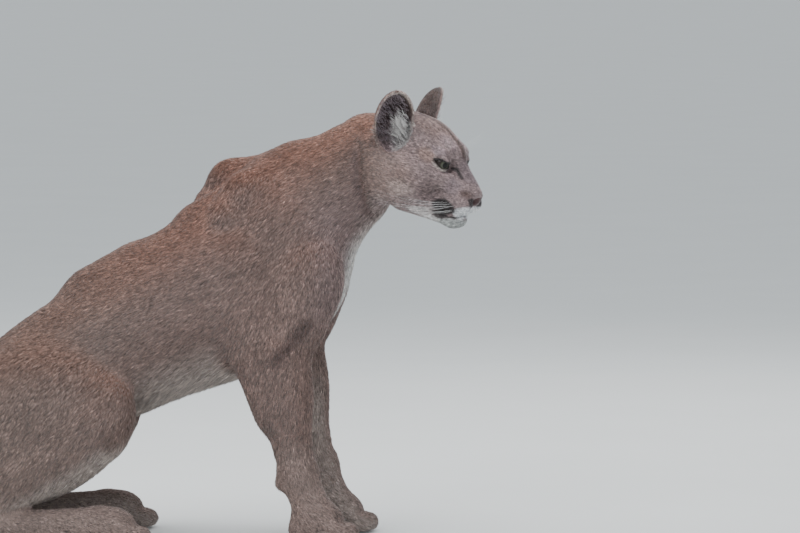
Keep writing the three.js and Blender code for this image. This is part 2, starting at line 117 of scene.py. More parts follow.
EAR_ROOT = V(-89, 57, 10)
EAR_AXIS = V(-0.02, 0.26, 0.966)
EAR_OPEN = V(0.75, 0.65, -0.16)
EAR_HULL = (V(0, 37, 0), V(36, 57, 26))
EAR_HOLLOW = (V(0, 37, 8), V(31, 51.5, 26))
EAR_RIM = 4
MOUTH = ((80, -73), (62, -75), (47, -85), (35, -87), (18, -85), (8, -82))  # x and z of its turns
MOUTH_DEPTH = 2.4
MOUTH_WIDTH = 1.5
LIP_CLEFT = 1.8  # depth and width of the groove under the nose
NOSE_AT = V(70, 0, -50.5)
NOSE_RADII = V(13.5, 15, 10)
NOSE_TURN = 0.45

TAIL_LINE = (V(10, 0, 150), V(-48, -2, 92), V(-105, -8, 46), V(-180, -26, 31), V(-275, -62, 30),
             V(-365, -112, 30), V(-445, -172, 29), V(-505, -240, 28), V(-540, -312, 26))
TAIL_HALF = (50, 44, 36, 32, 31, 31, 31, 30, 24)


def unit(v):
    v = np.asarray(v, float)
    return v / np.maximum(np.linalg.norm(v, axis=-1, keepdims=True), 1e-9)


def ramp(x, low, high):
    """Goes smoothly from 0 at low to 1 at high."""
    t = np.clip((x - low) / (high - low), 0, 1)
    return t * t * (3 - 2 * t)


# Soft masses, as in the part's source.
def mass(start, end, width, thick, blend):
    start, end = V(*start), V(*end)
    e1 = unit(end - start)
    side = V(0, 1, 0)
    e3 = unit(side - e1 * (side @ e1))
    e2 = np.cross(e3, e1)
    reach = np.linalg.norm(end - start) / 2
    return dict(kind="mass", centre=(start + end) / 2, axes=np.array([e1, e2, e3]),
                radii=np.array([reach, width, thick]), blend=blend, reach=max(reach, width, thick))


def ball(centre, rx, ry, rz, blend):
    return dict(kind="mass", centre=V(*centre), axes=np.eye(3), radii=np.array([rx, ry, rz], float),
                blend=blend, reach=max(rx, ry, rz))


def rod(start, end, r1, r2, blend, flat=1.0):
    start, end = V(*start), V(*end)
    along = end - start
    return dict(kind="rod", start=start, along=along, r1=r1, r2=r2, flat=flat, blend=blend,
                centre=start + along / 2,
                reach=np.linalg.norm(along) / 2 + max(r1, r2) * max(1, flat))


def distance(m, p):
    if m["kind"] == "rod":
        q = p - m["start"]
        share = np.clip(q @ m["along"] / (m["along"] @ m["along"]), 0, 1)
        d = q - share[:, None] * m["along"]
        d[:, 1] /= m["flat"]
        return np.sqrt((d * d).sum(1)) - (m["r1"] + (m["r2"] - m["r1"]) * share)
    q = (p - m["centre"]) @ m["axes"].T / m["radii"]
    inner = np.sqrt((q * q).sum(1))
    slope = np.sqrt(((q / m["radii"]) ** 2).sum(1))
    return inner * (inner - 1) / np.maximum(slope, 1e-6)


def blend_min(a, b, k):
    h = np.maximum(k - np.abs(a - b), 0) / k
    return np.minimum(a, b) - h * h * k / 4


def blend_max(a, b, k):
    return -blend_min(-a, -b, k)


FAR = 1000.0
CULL = 45.0


def blend_of(masses, p):
    d = np.full(len(p), FAR)
    for m in masses:
        near = np.abs(p - m["centre"]).max(1) < m["reach"] + m["blend"] + CULL
        if near.any():
            d[near] = blend_min(d[near], distance(m, p[near]), m["blend"])
    return d


def trunk_masses():
    return [
        mass((328, 0, 322), (672, 0, 546), 148, 120, 40),
        mass((165, 0, 246), (492, 0, 456), 128, 117, 60),
        mass((58, 0, 160), (290, 0, 366), 110, 104, 50),
        mass((-18, 0, 60), (130, 0, 262), 92, 98, 50),
        rod((264, 0, 412), (336, 0, 446), 52, 54, 36),
        rod((444, 0, 540), (604, 0, 628), 34, 44, 30),
        mass((596, 0, 352), (656, 0, 590), 72, 84, 45),
        rod(NECK_BASE, NECK_TOP, 104, 72, 45, 0.88),
        rod((668, -2, 546), (722, -10, 600), 50, 50, 30),
    ]


def shoulder_masses(side):
    top, point, joint = blade_top(side), shoulder(side), elbow(side)
    tx, ty, tz = top
    px, py, pz = point
    jx, jy, jz = joint
    return [
        mass((tx - 2, ty - side * 4, tz + 22), (px + 12, py, pz - 40), 78, 40, 26),
        rod((tx - 18, side * 52, tz - 46), (tx + 10, side * 42, tz - 8), 30, 26, 26),
        rod((tx + 10, side * 42, tz - 6), (tx + 92, side * 30, tz + 18), 26, 27, 22),
        mass((px + 20, py, pz + 60), (jx - 2, jy, jz - 28), 64, 42, 26),
        mass((508 - step(side) / 2, side * 80, 520), (jx - 26, jy, jz - 22), 58, 36, 26),
        ball((px - 2, side * 72, pz), 56, 42, 62, 24),
    ]


def foreleg_masses(side):
    jx, jy, jz = elbow(side)
    lx, ly, lz = wrist(side)
    return [
        rod((jx + 12, jy, jz), (lx, ly, lz), 50, 30, 20, 0.86),
        mass((jx + 8, jy - side * 2, jz + 62), (lx - 18, ly + side * 4, 176), 52, 40, 20),
        rod((jx - 34, jy, jz - 18), (jx + 4, jy, jz - 92), 25, 30, 22, 0.9),
        ball((lx + 2, ly, lz), 33, 33, 34, 14),
        ball((lx - 26, ly, lz - 14), 12, 14, 12, 10),
    ]


def paw_masses(at, side):
    x, y, z = at
    masses = [ball((x, y, z + 2), 46, 38, 33, 16), ball((x - 16, y, 20), 34, 31, 24, 12)]
    for toe in (-1.5, -0.5, 0.5, 1.5):
        forward = 52 - 7.5 * (abs(toe) - 0.5)
        across = toe * 19.5
        tx, ty = x + forward, y + across + side * 4
        masses.append(rod((x + 10, y + across * 0.72, 34), (tx - 14, ty, 24), 15, 13.5, 9))
        masses.append(ball((tx, ty, 17), 19, 12.2, 16, 5))
    return masses


def fore_paw_masses(side):
    lx, ly, lz = wrist(side)
    x, y, z = fore_paw(side)
    return [rod((lx, ly, lz), (x - 4, y, z + 10), 31, 33, 14), *paw_masses((x, y, z), side),
            ball((lx + 14, ly - side * 33, lz - 30), 13, 9, 16, 8)]


def hindleg_masses(side):
    top, mid, heel = hip(side), knee(side), hock(side)
    return [
        mass((top[0] - 70, side * 74, top[2] - 56), (mid[0] + 30, side * 112, mid[2] + 6), 112, 56, 34),
        mass((top[0] - 18, side * 60, top[2] + 76), (mid[0] + 22, side * 100, mid[2] + 24), 76, 52, 34),
        ball((mid[0] - 2, mid[1], mid[2] - 10), 52, 40, 58, 26),
        rod((mid[0] - 20, mid[1] + side * 8, mid[2] - 40), (heel[0] + 34, heel[1], heel[2] + 26),
            50, 31, 24, 0.9),
        rod(heel, (heel[0] + 66, heel[1] - side * 4, heel[2] + 66), 24, 38, 22),
        ball((28, side * 52, 52), 62, 48, 56, 34),
    ]


def hind_foot_masses(side):
    heel, at = hock(side), hind_paw(side)
    return [ball((heel[0] - 2, heel[1], 33), 30, 25, 34, 12),
            rod((heel[0] + 6, heel[1], 28), (at[0] - 26, at[1], 36), 27, 30, 16),
            *paw_masses(at, side)]


def centripetal(points, count):
    """Points at even parameters along a centripetal Catmull-Rom curve."""
    pts = [2 * points[0] - points[1], *points, 2 * points[-1] - points[-2]]
    made = []
    for t in np.linspace(0, len(points) - 1, count):
        i = min(int(t), len(points) - 2)
        p = pts[i:i + 4]
        k = np.cumsum([0] + [np.linalg.norm(p[j + 1] - p[j]) ** 0.5 for j in range(3)])
        u = k[1] + (t - i) * (k[2] - k[1])
        a = [((k[j + 1] - u) * p[j] + (u - k[j]) * p[j + 1]) / (k[j + 1] - k[j]) for j in range(3)]
        b = [((k[j + 2] - u) * a[j] + (u - k[j]) * a[j + 1]) / (k[j + 2] - k[j]) for j in range(2)]
        made.append(((k[2] - u) * b[0] + (u - k[1]) * b[1]) / (k[2] - k[1]))
    return np.array(made)


TAIL_STEPS = 30
TAIL_PATH = centripetal(TAIL_LINE, TAIL_STEPS + 1)


def tail_masses():
    half = np.interp(np.linspace(0, len(TAIL_HALF) - 1, TAIL_STEPS + 1), range(len(TAIL_HALF)), TAIL_HALF)
    return [rod(TAIL_PATH[i], TAIL_PATH[i + 1], half[i], half[i + 1], 12) for i in range(TAIL_STEPS)]


HEAD_MASSES = [
    ball((-67, 0, 8), 78, 60, 54, 10),
    ball((-108, 0, 0), 48, 58, 54, 24),
    ball((-8, 0, 14), 29, 41, 22, 16),
    rod((4, 14, 20), (0, 42, 14), 9, 10, 10),
    rod((9, 0, 5), (54, 0, -42), 17, 16, 12),
    rod((16, 34, -27), (-55, 58, -14), 15, 18, 18),
    ball((-50, 46, -42), 50, 28, 52, 20),
    ball((22, 0, -48), 45, 33, 34, 14),
    ball((41, 18.5, -59), 27, 20, 20, 6),
    ball((60.5, 0, -45), 13, 19, 14, 5),
    ball((34, 0, -90), 20, 19, 15, 8),
    rod((34, 10, -90), (-46, 42, -70), 16, 28, 14),
    ball((-50, 0, -62), 58, 48, 40, 22),
    ball((-90, 42, -36), 38, 30, 52, 24),
]
EYE_DENT = ball((17, 38, -2), 15, 16, 11, 8)
LID = ball(EYE, EYE_RADIUS + 2.6, EYE_RADIUS + 2.6, EYE_RADIUS + 2.6, 5)
NOSTRIL = ball((73, 9.5, -50), 9, 4.2, 5.2, 2)
HEAD_REACH = 260
HEAD_BLEND = 16


def turn_z(a):
    return np.array([[math.cos(a), -math.sin(a), 0], [math.sin(a), math.cos(a), 0], [0, 0, 1]])


def turn_y(a):
    return np.array([[math.cos(a), 0, math.sin(a)], [0, 1, 0], [-math.sin(a), 0, math.cos(a)]])


def turn_x(a):
    return np.array([[1, 0, 0], [0, math.cos(a), -math.sin(a)], [0, math.sin(a), math.cos(a)]])


HEAD_AXES = turn_z(-HEAD_TURN) @ turn_y(HEAD_NOD)  # columns: the head's x, y and z
GAZE_AXES = turn_z(EYE_OUT) @ turn_x(EYE_TILT)


def to_head(p):
    return (p - HEAD_AT) @ HEAD_AXES


def from_head(p):
    return np.asarray(p, float) @ HEAD_AXES.T + HEAD_AT


def ear_axes():
    up = unit(EAR_AXIS)
    opening = unit(EAR_OPEN - up * (EAR_OPEN @ up))
    return np.array([np.cross(up, opening), up, opening])  # rows: across, up, opening


EAR_AXES = ear_axes()


def ellipsoid(q, centre, radii):
    return distance(ball(centre, *radii, 1), q)


def gaze_place(q):
    """Head places, left half, as places in the eye's frame: along the gaze, outward and up."""
    return (q - EYE) @ GAZE_AXES


def lid_lens(g):
    """How far outside the eye's opening a place in the eye's frame is."""
    across, up = g[:, 1], g[:, 2]
    lens = np.maximum(np.hypot(across, up - LID_OFFSET), np.hypot(across, up + LID_OFFSET)) - LID_ARC
    return np.maximum(lens, up - LID_SLOPE * across - LID_BROW)


def head_field(p):
    q = p.copy()
    q[:, 1] = np.abs(q[:, 1])
    d = blend_of(HEAD_MASSES, q)
    d = blend_max(d, -distance(EYE_DENT, q), EYE_DENT["blend"])
    d = blend_min(d, distance(LID, q), LID["blend"])
    return d, q


def over_mouth(q):
    """How far above the line of the mouth a head place is."""
    return q[:, 2] - np.interp(q[:, 0], [x for x, z in MOUTH[::-1]], [z for x, z in MOUTH[::-1]])


FOLD_TOP = V(-142, 52, -3)
FOLD_LOW = V(-96, 46, -124)
FOLD_WIDTH = 7.0
FOLD_DEPTH = 3.0


def neck_fold(q):
    """The fold of skin behind the cheek, from the ear to the throat: 1 along its middle."""
    share = (q[:, 2] - FOLD_LOW[2]) / (FOLD_TOP[2] - FOLD_LOW[2])
    across = q[:, 0] - FOLD_LOW[0] - share * (FOLD_TOP[0] - FOLD_LOW[0])
    ends = ramp(share, -0.1, 0.15) * ramp(share, 1.1, 0.8) * ramp(q[:, 1], 18, 38)
    return ends * np.exp(-(across / FOLD_WIDTH) ** 2)


def face_details(d, q):
    """Cuts the lids, lips, nostrils and ear cups into the joined field, near the head."""
    e = (q - EAR_ROOT) @ EAR_AXES.T
    shell = blend_max(ellipsoid(e, *EAR_HULL), e[:, 2] - EAR_RIM, 3)
    shell = blend_max(shell, -ellipsoid(e, *EAR_HOLLOW), 2.5)
    d = blend_min(d, shell, 8)
    d = blend_max(d, -ellipsoid(e, *EAR_HOLLOW), 3)
    g = gaze_place(q)
    deep = EYE_RADIUS - 3.0 - np.sqrt((g * g).sum(1))
    opening = np.maximum(np.maximum(lid_lens(g), deep), -g[:, 0])
    d = blend_max(d, -opening, 1.4)
    corner = np.clip((q[:, 0] - MOUTH[-1][0]) / 6, 0, 1)
    d = d + MOUTH_DEPTH * corner * np.exp(-(over_mouth(q) / MOUTH_WIDTH) ** 2)
    d = d + FOLD_DEPTH * neck_fold(q)
    below_nose = np.clip((q[:, 0] - 48) / 6, 0, 1) * np.clip((-54 - q[:, 2]) / 4, 0, 1)
    below_nose = below_nose * np.clip((q[:, 2] + 84) / 4, 0, 1)
    d = d + LIP_CLEFT * below_nose * np.exp(-(q[:, 1] / LIP_CLEFT) ** 2)
    return blend_max(d, -distance(NOSTRIL, q), NOSTRIL["blend"])


BODY_GROUPS = {
    "trunk": trunk_masses(),
    "fore": [m for make in (shoulder_masses, foreleg_masses) for s in SIDES for m in make(s)],
    "hind": [m for s in SIDES for m in hindleg_masses(s)],
    "forepaw": [m for s in SIDES for m in fore_paw_masses(s)],
    "hindfoot": [m for s in SIDES for m in hind_foot_masses(s)],
    "tail": tail_masses(),
}
BODY_MASSES = [m for group in BODY_GROUPS.values() for m in group]
COAT_DEPTH = 1.2
FLOOR_CLEAR = 1.0


def field(p):
    d = blend_of(BODY_MASSES, p)
    near = np.abs(p - HEAD_AT).max(1) < HEAD_REACH
    if near.any():
        head, q = head_field(to_head(p[near]))
        d[near] = face_details(blend_min(d[near], head, HEAD_BLEND), q)
    return np.maximum(d + COAT_DEPTH, FLOOR_CLEAR - p[:, 2])


def gradient(p, d):
    h = 0.4
    return np.stack([(field(p + h * a) - d) / h for a in np.eye(3)], 1)


def ticks(*spans):
    """Grid places along one axis: spans of (start, end, spacing)."""
    parts = [np.linspace(a, b, max(1, round((b - a) / s)), endpoint=False) for a, b, s in spans]
    return np.concatenate([*parts, [spans[-1][1]]])


FINE = 2.0
COARSE = 6
AXIS_X = ticks((-600, 690, COARSE), (690, 962, FINE))
AXIS_Y = ticks((-390, -190, COARSE), (-190, 70, FINE), (70, 196, COARSE * 0.7))
AXIS_Z = ticks((-12, 100, FINE * 1.8), (100, 500, COARSE), (500, 800, FINE))
BLOCK = 26.0
BLOCK_MARGIN = 16.0


def sampled_field():
    """The field at every grid place near the skin, and its sign elsewhere."""
    low = np.array([AXIS_X[0], AXIS_Y[0], AXIS_Z[0]])
    index = [((axis - low[i]) // BLOCK).astype(int) for i, axis in enumerate((AXIS_X, AXIS_Y, AXIS_Z))]
    shape = [i[-1] + 1 for i in index]
    centres = np.stack(np.meshgrid(*[np.arange(n) for n in shape], indexing="ij"), -1).reshape(-1, 3)
    around = field(low + (centres + 0.5) * BLOCK).reshape(shape)
    expanded = around[np.ix_(*index)].astype(np.float32)
    near = np.abs(expanded) < BLOCK * 0.87 + BLOCK_MARGIN
    i, j, k = np.nonzero(near)
    for part in np.array_split(np.arange(len(i)), max(1, len(i) // 400000)):
        places = np.stack([AXIS_X[i[part]], AXIS_Y[j[part]], AXIS_Z[k[part]]], 1)
        expanded[i[part], j[part], k[part]] = field(places)
    return expanded


def surface_net(value):
    """Quads round every grid edge that the skin crosses, with one vertex for each crossed cell."""
    inside = value < 0
    cells = np.zeros([n - 1 for n in value.shape], np.uint8)
    corners = [(a, b, c) for a in (0, 1) for b in (0, 1) for c in (0, 1)]
    n = cells.shape
    for a, b, c in corners:
        cells += inside[a:a + n[0], b:b + n[1], c:c + n[2]]
    i, j, k = np.nonzero((cells > 0) & (cells < 8))
    v = np.stack([value[i + a, j + b, k + c] for a, b, c in corners], 1).astype(float)
    total = np.zeros((len(i), 3))
    count = np.zeros(len(i))
    for s, p in enumerate(corners):
        for t, q in enumerate(corners):
            if s < t and sum(abs(x - y) for x, y in zip(p, q)) == 1:
                cross = (v[:, s] < 0) != (v[:, t] < 0)
                share = np.where(cross, v[:, s] / np.where(cross, v[:, s] - v[:, t], 1), 0)
                spot = np.array(p) + share[:, None] * (np.array(q) - np.array(p))
                total += spot * cross[:, None]
                count += cross
    total /= count[:, None]
    places = np.stack([np.interp(np.array((i, j, k)[t]) + total[:, t], range(len(axis)), axis)
                       for t, axis in enumerate((AXIS_X, AXIS_Y, AXIS_Z))], 1)
    number = np.full(n, -1, np.int32)
    number[i, j, k] = np.arange(len(i))
    quads = []
    for axis in range(3):
        u, w = (axis + 1) % 3, (axis + 2) % 3
        first = inside[tuple(slice(0, -1) if t == axis else slice(1, -1) for t in range(3))]
        second = inside[tuple(slice(1, None) if t == axis else slice(1, -1) for t in range(3))]
        at = np.stack(np.nonzero(first != second), 1)
        outward = first[tuple(at.T)]
        at[:, u] += 1
        at[:, w] += 1
        ring = []
        for du, dw in ((-1, -1), (0, -1), (0, 0), (-1, 0)):
            spot = at.copy()
            spot[:, u] += du
            spot[:, w] += dw
            ring.append(number[tuple(spot.T)])
        ring = np.stack(ring, 1)
        ring[~outward] = ring[~outward][:, ::-1]
        quads.append(ring)
    return places, np.concatenate(quads)


def settled(p, most):
    """Places moved onto the skin, by at most the given distance."""
    for _ in range(2):
        d = field(p)
        g = gradient(p, d)
        move = -d[:, None] * g / np.maximum((g * g).sum(1), 0.2)[:, None]
        far = np.linalg.norm(move, axis=1, keepdims=True)
        p = p + move * np.minimum(1, most / np.maximum(far, 1e-6))
    return p


# The frame tells where the sculptor's space lies: its right eye is this place's middle.
eye_low, eye_high = (np.array(c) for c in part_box("eye_right"))
SHIFT = (eye_low + eye_high) / 2 - from_head(EYE * (1, -1, 1)) / 1000


def to_frame(p):
    return np.asarray(p) / 1000 + SHIFT


def new_object(name, places, faces, colours=None, patch=None):
    """A smooth mesh object from millimetre places and an array of triangles or quads."""
    mesh = bpy.data.meshes.new(name)
    sides = faces.shape[1]
    mesh.vertices.add(len(places))
    mesh.vertices.foreach_set("co", to_frame(places).astype(np.float32).ravel())
    mesh.loops.add(faces.size)
    mesh.loops.foreach_set("vertex_index", faces.astype(np.int32).ravel())
    mesh.polygons.add(len(faces))
    mesh.polygons.foreach_set("loop_start", np.arange(0, faces.size, sides, dtype=np.int32))
    mesh.polygons.foreach_set("loop_total", np.full(len(faces), sides, np.int32))
    mesh.polygons.foreach_set("use_smooth", np.full(len(faces), True))
    if colours is not None:
        layer = mesh.color_attributes.new("Coat", "FLOAT_COLOR", "POINT")
        rgba = np.ones((len(places), 4), np.float32)
        rgba[:, :3] = colours
        layer.data.foreach_set("color", rgba.ravel())
    if patch is not None:
        layer = mesh.uv_layers.new(name="OFBake")
        layer.data.foreach_set("uv", patch[faces.ravel()].astype(np.float32).ravel())
    mesh.update()
    mesh.validate()
    made = bpy.data.objects.new(name, mesh)
    bpy.context.scene.collection.objects.link(made)
    return made


def group_distances(p):
    """How far each place is from each body group, for colours and the lie of the coat."""
    found = {name: blend_of(masses, p) for name, masses in BODY_GROUPS.items()}
    found["head"] = np.full(len(p), FAR)
    near = np.abs(p - HEAD_AT).max(1) < HEAD_REACH
    found["head"][near] = head_field(to_head(p[near]))[0]
    q = to_head(p)
    q[:, 1] = np.abs(q[:, 1])
    e = (q - EAR_ROOT) @ EAR_AXES.T
    ear = ellipsoid(e, *EAR_HULL)
    found["ear"] = np.where(e[:, 1] > 22, ear, FAR)
    return found


# Coat colours, as linear red, green and blue.
RUST = V(0.27, 0.138, 0.1)
FAWN = V(0.214, 0.143, 0.124)
ASH = V(0.3, 0.226, 0.226)
MAUVE = V(0.34, 0.262, 0.282)
SLATE = V(0.15, 0.12, 0.138)
WARM = V(0.32, 0.212, 0.176)
CHIN = V(0.42, 0.44, 0.43)
PALE = V(0.52, 0.45, 0.41)
WHITE = V(0.78, 0.76, 0.74)
# A white brightened past WHITE: the upper lip's own white, partly painted light since the lip faces down,
# away from the lamps.
WHITE_WITH_PAINTED_LIGHT = V(0.9, 0.91, 0.94)
SOOT = V(0.03, 0.024, 0.024)
UMBER = V(0.1, 0.062, 0.055)

# Marks on the head, among them painted shade behind the ears and beside the nostrils and painted light on
# the upper lip: centre and half sizes in its frame, colour, strength and softness.
HEAD_MARKS_WITH_PAINTED_SHADE_AND_LIGHT = (
    ((-30, 20, 56), (60, 30, 22), FAWN, 0.6, 0.9),
    ((-72, 62, -42), (46, 34, 44), WARM, 0.6, 0.9),
    ((-22, 50, 6), (18, 14, 13), WARM, 0.6, 0.8),
    ((2, 22, 34), (24, 12, 14), MAUVE, 0.4, 0.8),
    ((-4, 45, 19), (14, 12, 8), MAUVE, 0.6, 0.7),
    ((40, 0, -8), (28, 20, 24), SLATE, 0.5, 0.8),
    ((27, 25, 4), (7, 7, 9), PALE, 0.6, 0.7),
    ((30, 32, -32), (18, 14, 14), MAUVE, 0.4, 0.8),
    ((-2, 48, -46), (22, 18, 18), UMBER, 0.26, 1.2),
    ((-44, 60, -58), (26, 24, 14), PALE, 0.25, 0.9),
    # Partly painted shade between the ear and the neck, partly the ear back's own dark colour.
    ((-112, 58, 14), (12, 22, 28), UMBER, 0.75, 0.7),
    ((-30, 0, 62), (60, 8, 26), UMBER, 0.8, 0.6),
    ((18, 0, 32), (30, 8, 26), UMBER, 0.82, 0.6),
    # Painted shade in the dark wedge between the muzzle and the bridge of the nose, beside the nostril.
    ((50, 16, -43), (15, 13, 9), UMBER, 0.9, 0.9),
    ((-10, 42, -88), (20, 22, 9), WHITE, 0.5, 0.8),
    ((14, 30, -101), (24, 26, 11), WHITE, 0.7, 0.6),
    ((40, 10, -99), (26, 26, 14), CHIN, 0.9, 0.5),
    # The upper lip's white, brightened with painted light.
    ((58, 15, -73), (19, 22, 15), WHITE_WITH_PAINTED_LIGHT, 0.98, 0.4),
    ((26, 33, -71), (21, 20, 13), SOOT, 0.98, 0.35),
    ((22, 33, -85), (12, 18, 8), SOOT, 0.92, 0.5),
    ((61, 13, -53), (13, 12, 9), SOOT, 0.93, 0.5),
)
TEAR_LINE = ((15, -7), (24, -6), (38, -18))  # x and z of its turns
TEAR_WIDTH = 1.9
ELBOW_SHADE_LINE = ((628, 378), (574, 316))  # x and z of the ends of the painted shade along the fold over the elbow
SPECK = 3.2  # size of the coat's salt and pepper grain
SPECK_WAVES = V(12.9898, 78.233, 37.719)
SPECK_GAIN = 43758.5453


def line_distance(p, line):
    """How far places in a plane are from a line through the given turns."""
    found = np.full(len(p), np.inf)
    for a, b in zip(np.array(line[:-1], float), np.array(line[1:], float)):
        share = np.clip((p - a) @ (b - a) / ((b - a) ** 2).sum(), 0, 1)
        found = np.minimum(found, np.linalg.norm(p - a - share[:, None] * (b - a), axis=1))
    return found


def speckle(p):
    """A fixed value from 0 to 1 that jumps from one small cell of space to the next."""
    wave = np.sin(np.floor(p / SPECK) @ SPECK_WAVES) * SPECK_GAIN
    return wave - np.floor(wave)


def markings_with_painted_shade_and_light(p, n, near):
    """The coat's colour at each place, with painted shade in the folds over the elbows and behind the
    cheeks, behind the ears and beside the nostrils, and painted light on the white upper lip.
    """
    up = n[:, 2]
    colour = np.repeat(FAWN[None], len(p), 0)
    back = ramp(up, 0.1, 0.8) * ramp(p[:, 2], 120, 330)
    rear = ramp(p[:, 0], 500, 100)
    colour = mix(colour, RUST, back * 0.8)
    colour = mix(colour, colour * V(0.85, 0.8, 0.78), back * ramp(p[:, 0], 700, 620))
    colour = mix(colour, FAWN * V(0.85, 0.98, 0.95), rear * 0.4)
    neck = ramp(p[:, 0], 560, 660) * ramp(p[:, 2], 560, 640)
    colour = mix(colour, RUST, 0.55 * neck * ramp(up, 0.1, 0.7))
    colour = mix(colour, colour * V(0.86, 0.82, 0.78), neck * ramp(up, 0.5, 0.1))
    belly = ramp(up, -0.25, -0.85) * ramp(near["fore"], 5, 30)
    colour = mix(colour, PALE, belly * 0.85)
    front = ramp(p[:, 0], 560, 700) * ramp(p[:, 2], 320, 420) * ramp(n[:, 0], -0.2, 0.5)
    colour = mix(colour, ASH, front * 0.5)
    chest = ramp(n[:, 0], 0.5, 0.95) * ramp(np.abs(p[:, 1]), 70, 25) * ramp(p[:, 2], 600, 480)
    chest = chest * ramp(near["forepaw"], 5, 40)
    colour = mix(colour, WHITE, chest * 0.7)
    inner = ramp(-n[:, 1] * np.sign(p[:, 1]), 0.3, 0.9) * ramp(p[:, 2], 330, 200) * ramp(near["tail"], 4, 24)
    colour = mix(colour, PALE, inner * 0.6)
    # Painted shade: a dark line where the fur folds over the elbow and shade falls.
    elbow_shade = line_distance(p[:, [0, 2]], ELBOW_SHADE_LINE)
    colour = mix(colour, UMBER, 0.85 * ramp(elbow_shade, 20, 2) * ramp(np.abs(p[:, 1]), 50, 80))
    feet = ramp(np.minimum(near["forepaw"], near["hindfoot"]), 60, -2)
    colour = mix(colour, mix(FAWN, PALE, 0.3), feet * 0.45)
    tail = np.linalg.norm(p - TAIL_PATH[-1], axis=1)
    colour = mix(colour, UMBER * 0.7, ramp(tail, 130, 60) * ramp(near["tail"], 12, 2))
    q = to_head(p)
    face = ramp(near["head"], 26, 4) * ramp(q[:, 0], -128, -60)
    colour = mix(colour, ASH, face * 0.85)
    q[:, 1] = np.abs(q[:, 1])
    for centre, radii, tone, strength, soft in HEAD_MARKS_WITH_PAINTED_SHADE_AND_LIGHT:
        r = np.sqrt((((q - V(*centre)) / V(*radii)) ** 2).sum(1))
        colour = mix(colour, tone, strength * ramp(r, 1 + soft / 2, 1 - soft / 2) * (near["head"] < 40))
    lips = ramp(np.abs(over_mouth(q)), 2.4, 0.8) * ramp(q[:, 0], 66, 40) * ramp(q[:, 0], 4, 12)
    colour = mix(colour, SOOT, 0.85 * lips * (near["head"] < 10))
    # Painted shade along the fold behind the cheek, over the groove cut there.
    colour = mix(colour, UMBER, 0.6 * neck_fold(q))
    return ear_colours(eye_colours(colour, q), q)


def mix(a, b, share):
    share = np.asarray(share)
    return a + (b - a) * (share[:, None] if share.ndim else share)


def eye_colours(colour, q):
    """Adds the dark lids, the pale line under the eye and the tear line."""
    g = gaze_place(q)
    front = (g[:, 0] > 0) & (np.linalg.norm(g, axis=1) < 40)
    lens = lid_lens(g)
    colour = mix(colour, PALE, 0.75 * front * ramp(lens, 7, 4) * ramp(g[:, 2], -1, -5))
    lid = lens - 1.6 * ramp(g[:, 2], 0, 3)
    colour = mix(colour, SOOT, front * ramp(lid, 3.2, 1.5))
    tear = line_distance(q[:, [0, 2]], TEAR_LINE)
    shown = ramp(q[:, 1], 8, 14) * ramp(q[:, 1], 44, 36)
    return mix(colour, SOOT, 0.85 * shown * ramp(tear, TEAR_WIDTH + 1.4, TEAR_WIDTH - 0.6))


def ear_colours(colour, q):
    """Adds the ears' dark backs, their cups and their pale rims."""
    e = (q - EAR_ROOT) @ EAR_AXES.T
    hollow = ellipsoid(e, *EAR_HOLLOW)
    hull = ellipsoid(e, *EAR_HULL)
    cup = ramp(hollow, 2.2, 0.6) * (e[:, 2] > -26)
    rear = ramp(hull, 4, 1) * ramp(e[:, 2], 2, -6) * ramp(e[:, 1], 18, 34)
    rim = ramp(hull, 4, 1.5) * ramp(np.abs(e[:, 2] - EAR_RIM), 3.4, 1.4) * ramp(e[:, 1], 10, 26)
    colour = mix(colour, UMBER * 0.55, rear * 0.9 * (1 - cup))
    colour = mix(colour, mix(MAUVE, UMBER, 0.3 * ramp(e[:, 0], -4, 16)), cup * 0.9)
    front = cup * ramp(e[:, 0], 4, -14) * ramp(e[:, 1], 50, 24)
    colour = mix(colour, WHITE, front * 0.9)
    return mix(colour, PALE, rim * 0.8)


def lie(p, n, near):
    """The way the coat lies at each place: a unit vector along the skin."""
    outward = np.sign(p[:, 1])[:, None] * V(0, 1, 0)
    ways = {
        "trunk": V(-0.86, 0, -0.5) + np.zeros_like(p),
        "fore": V(-0.2, 0, -0.98) + 0.1 * outward,
        "hind": V(-0.55, 0, -0.83) + np.zeros_like(p),
        "forepaw": V(0.75, 0, -0.6) + np.zeros_like(p),
        "hindfoot": V(0.95, 0, -0.3) + np.zeros_like(p),
    }
    tail = np.argmin(((p[:, None] - TAIL_PATH[None, ::3]) ** 2).sum(2), axis=1) * 3
    tail = np.minimum(tail, TAIL_STEPS - 1)
    ways["tail"] = TAIL_PATH[tail + 1] - TAIL_PATH[tail]
    q = to_head(p)
    flip = np.sign(q[:, 1])[:, None]
    front = ramp(q[:, 0], 10, 60)[:, None]
    local = V(-1, 0, 0) * np.ones_like(p) + V(0, 0.55, 0) * flip + (1 - front) * V(0, 0, 0.1)
    crown = ramp(q[:, 2], 0, 40)[:, None]
    local = local + crown * V(-0.2, -0.3, 0.2) * np.concatenate([flip ** 2, flip, flip ** 2], 1)
    low = ramp(q[:, 2], -40, -80)[:, None]
    local = local + low * V(-0.1, 0, -0.35)
    ways["head"] = unit(local) @ HEAD_AXES.T
    up = EAR_AXES[1]
    ear = np.stack([np.full(len(p), up[0]), up[1] * flip[:, 0], np.full(len(p), up[2])], 1)
    ways["ear"] = ear @ HEAD_AXES.T
    total = np.zeros_like(p)
    for name, way in ways.items():
        total += unit(way) * np.exp(-np.clip(near[name], -20, 200) / 9)[:, None]
    total -= n * (total * n).sum(1)[:, None]
    return unit(total)


def skin_mesh():
    places, quads = surface_net(sampled_field())
    places = settled(places, FINE)
    return places, keep_largest(places, quads)


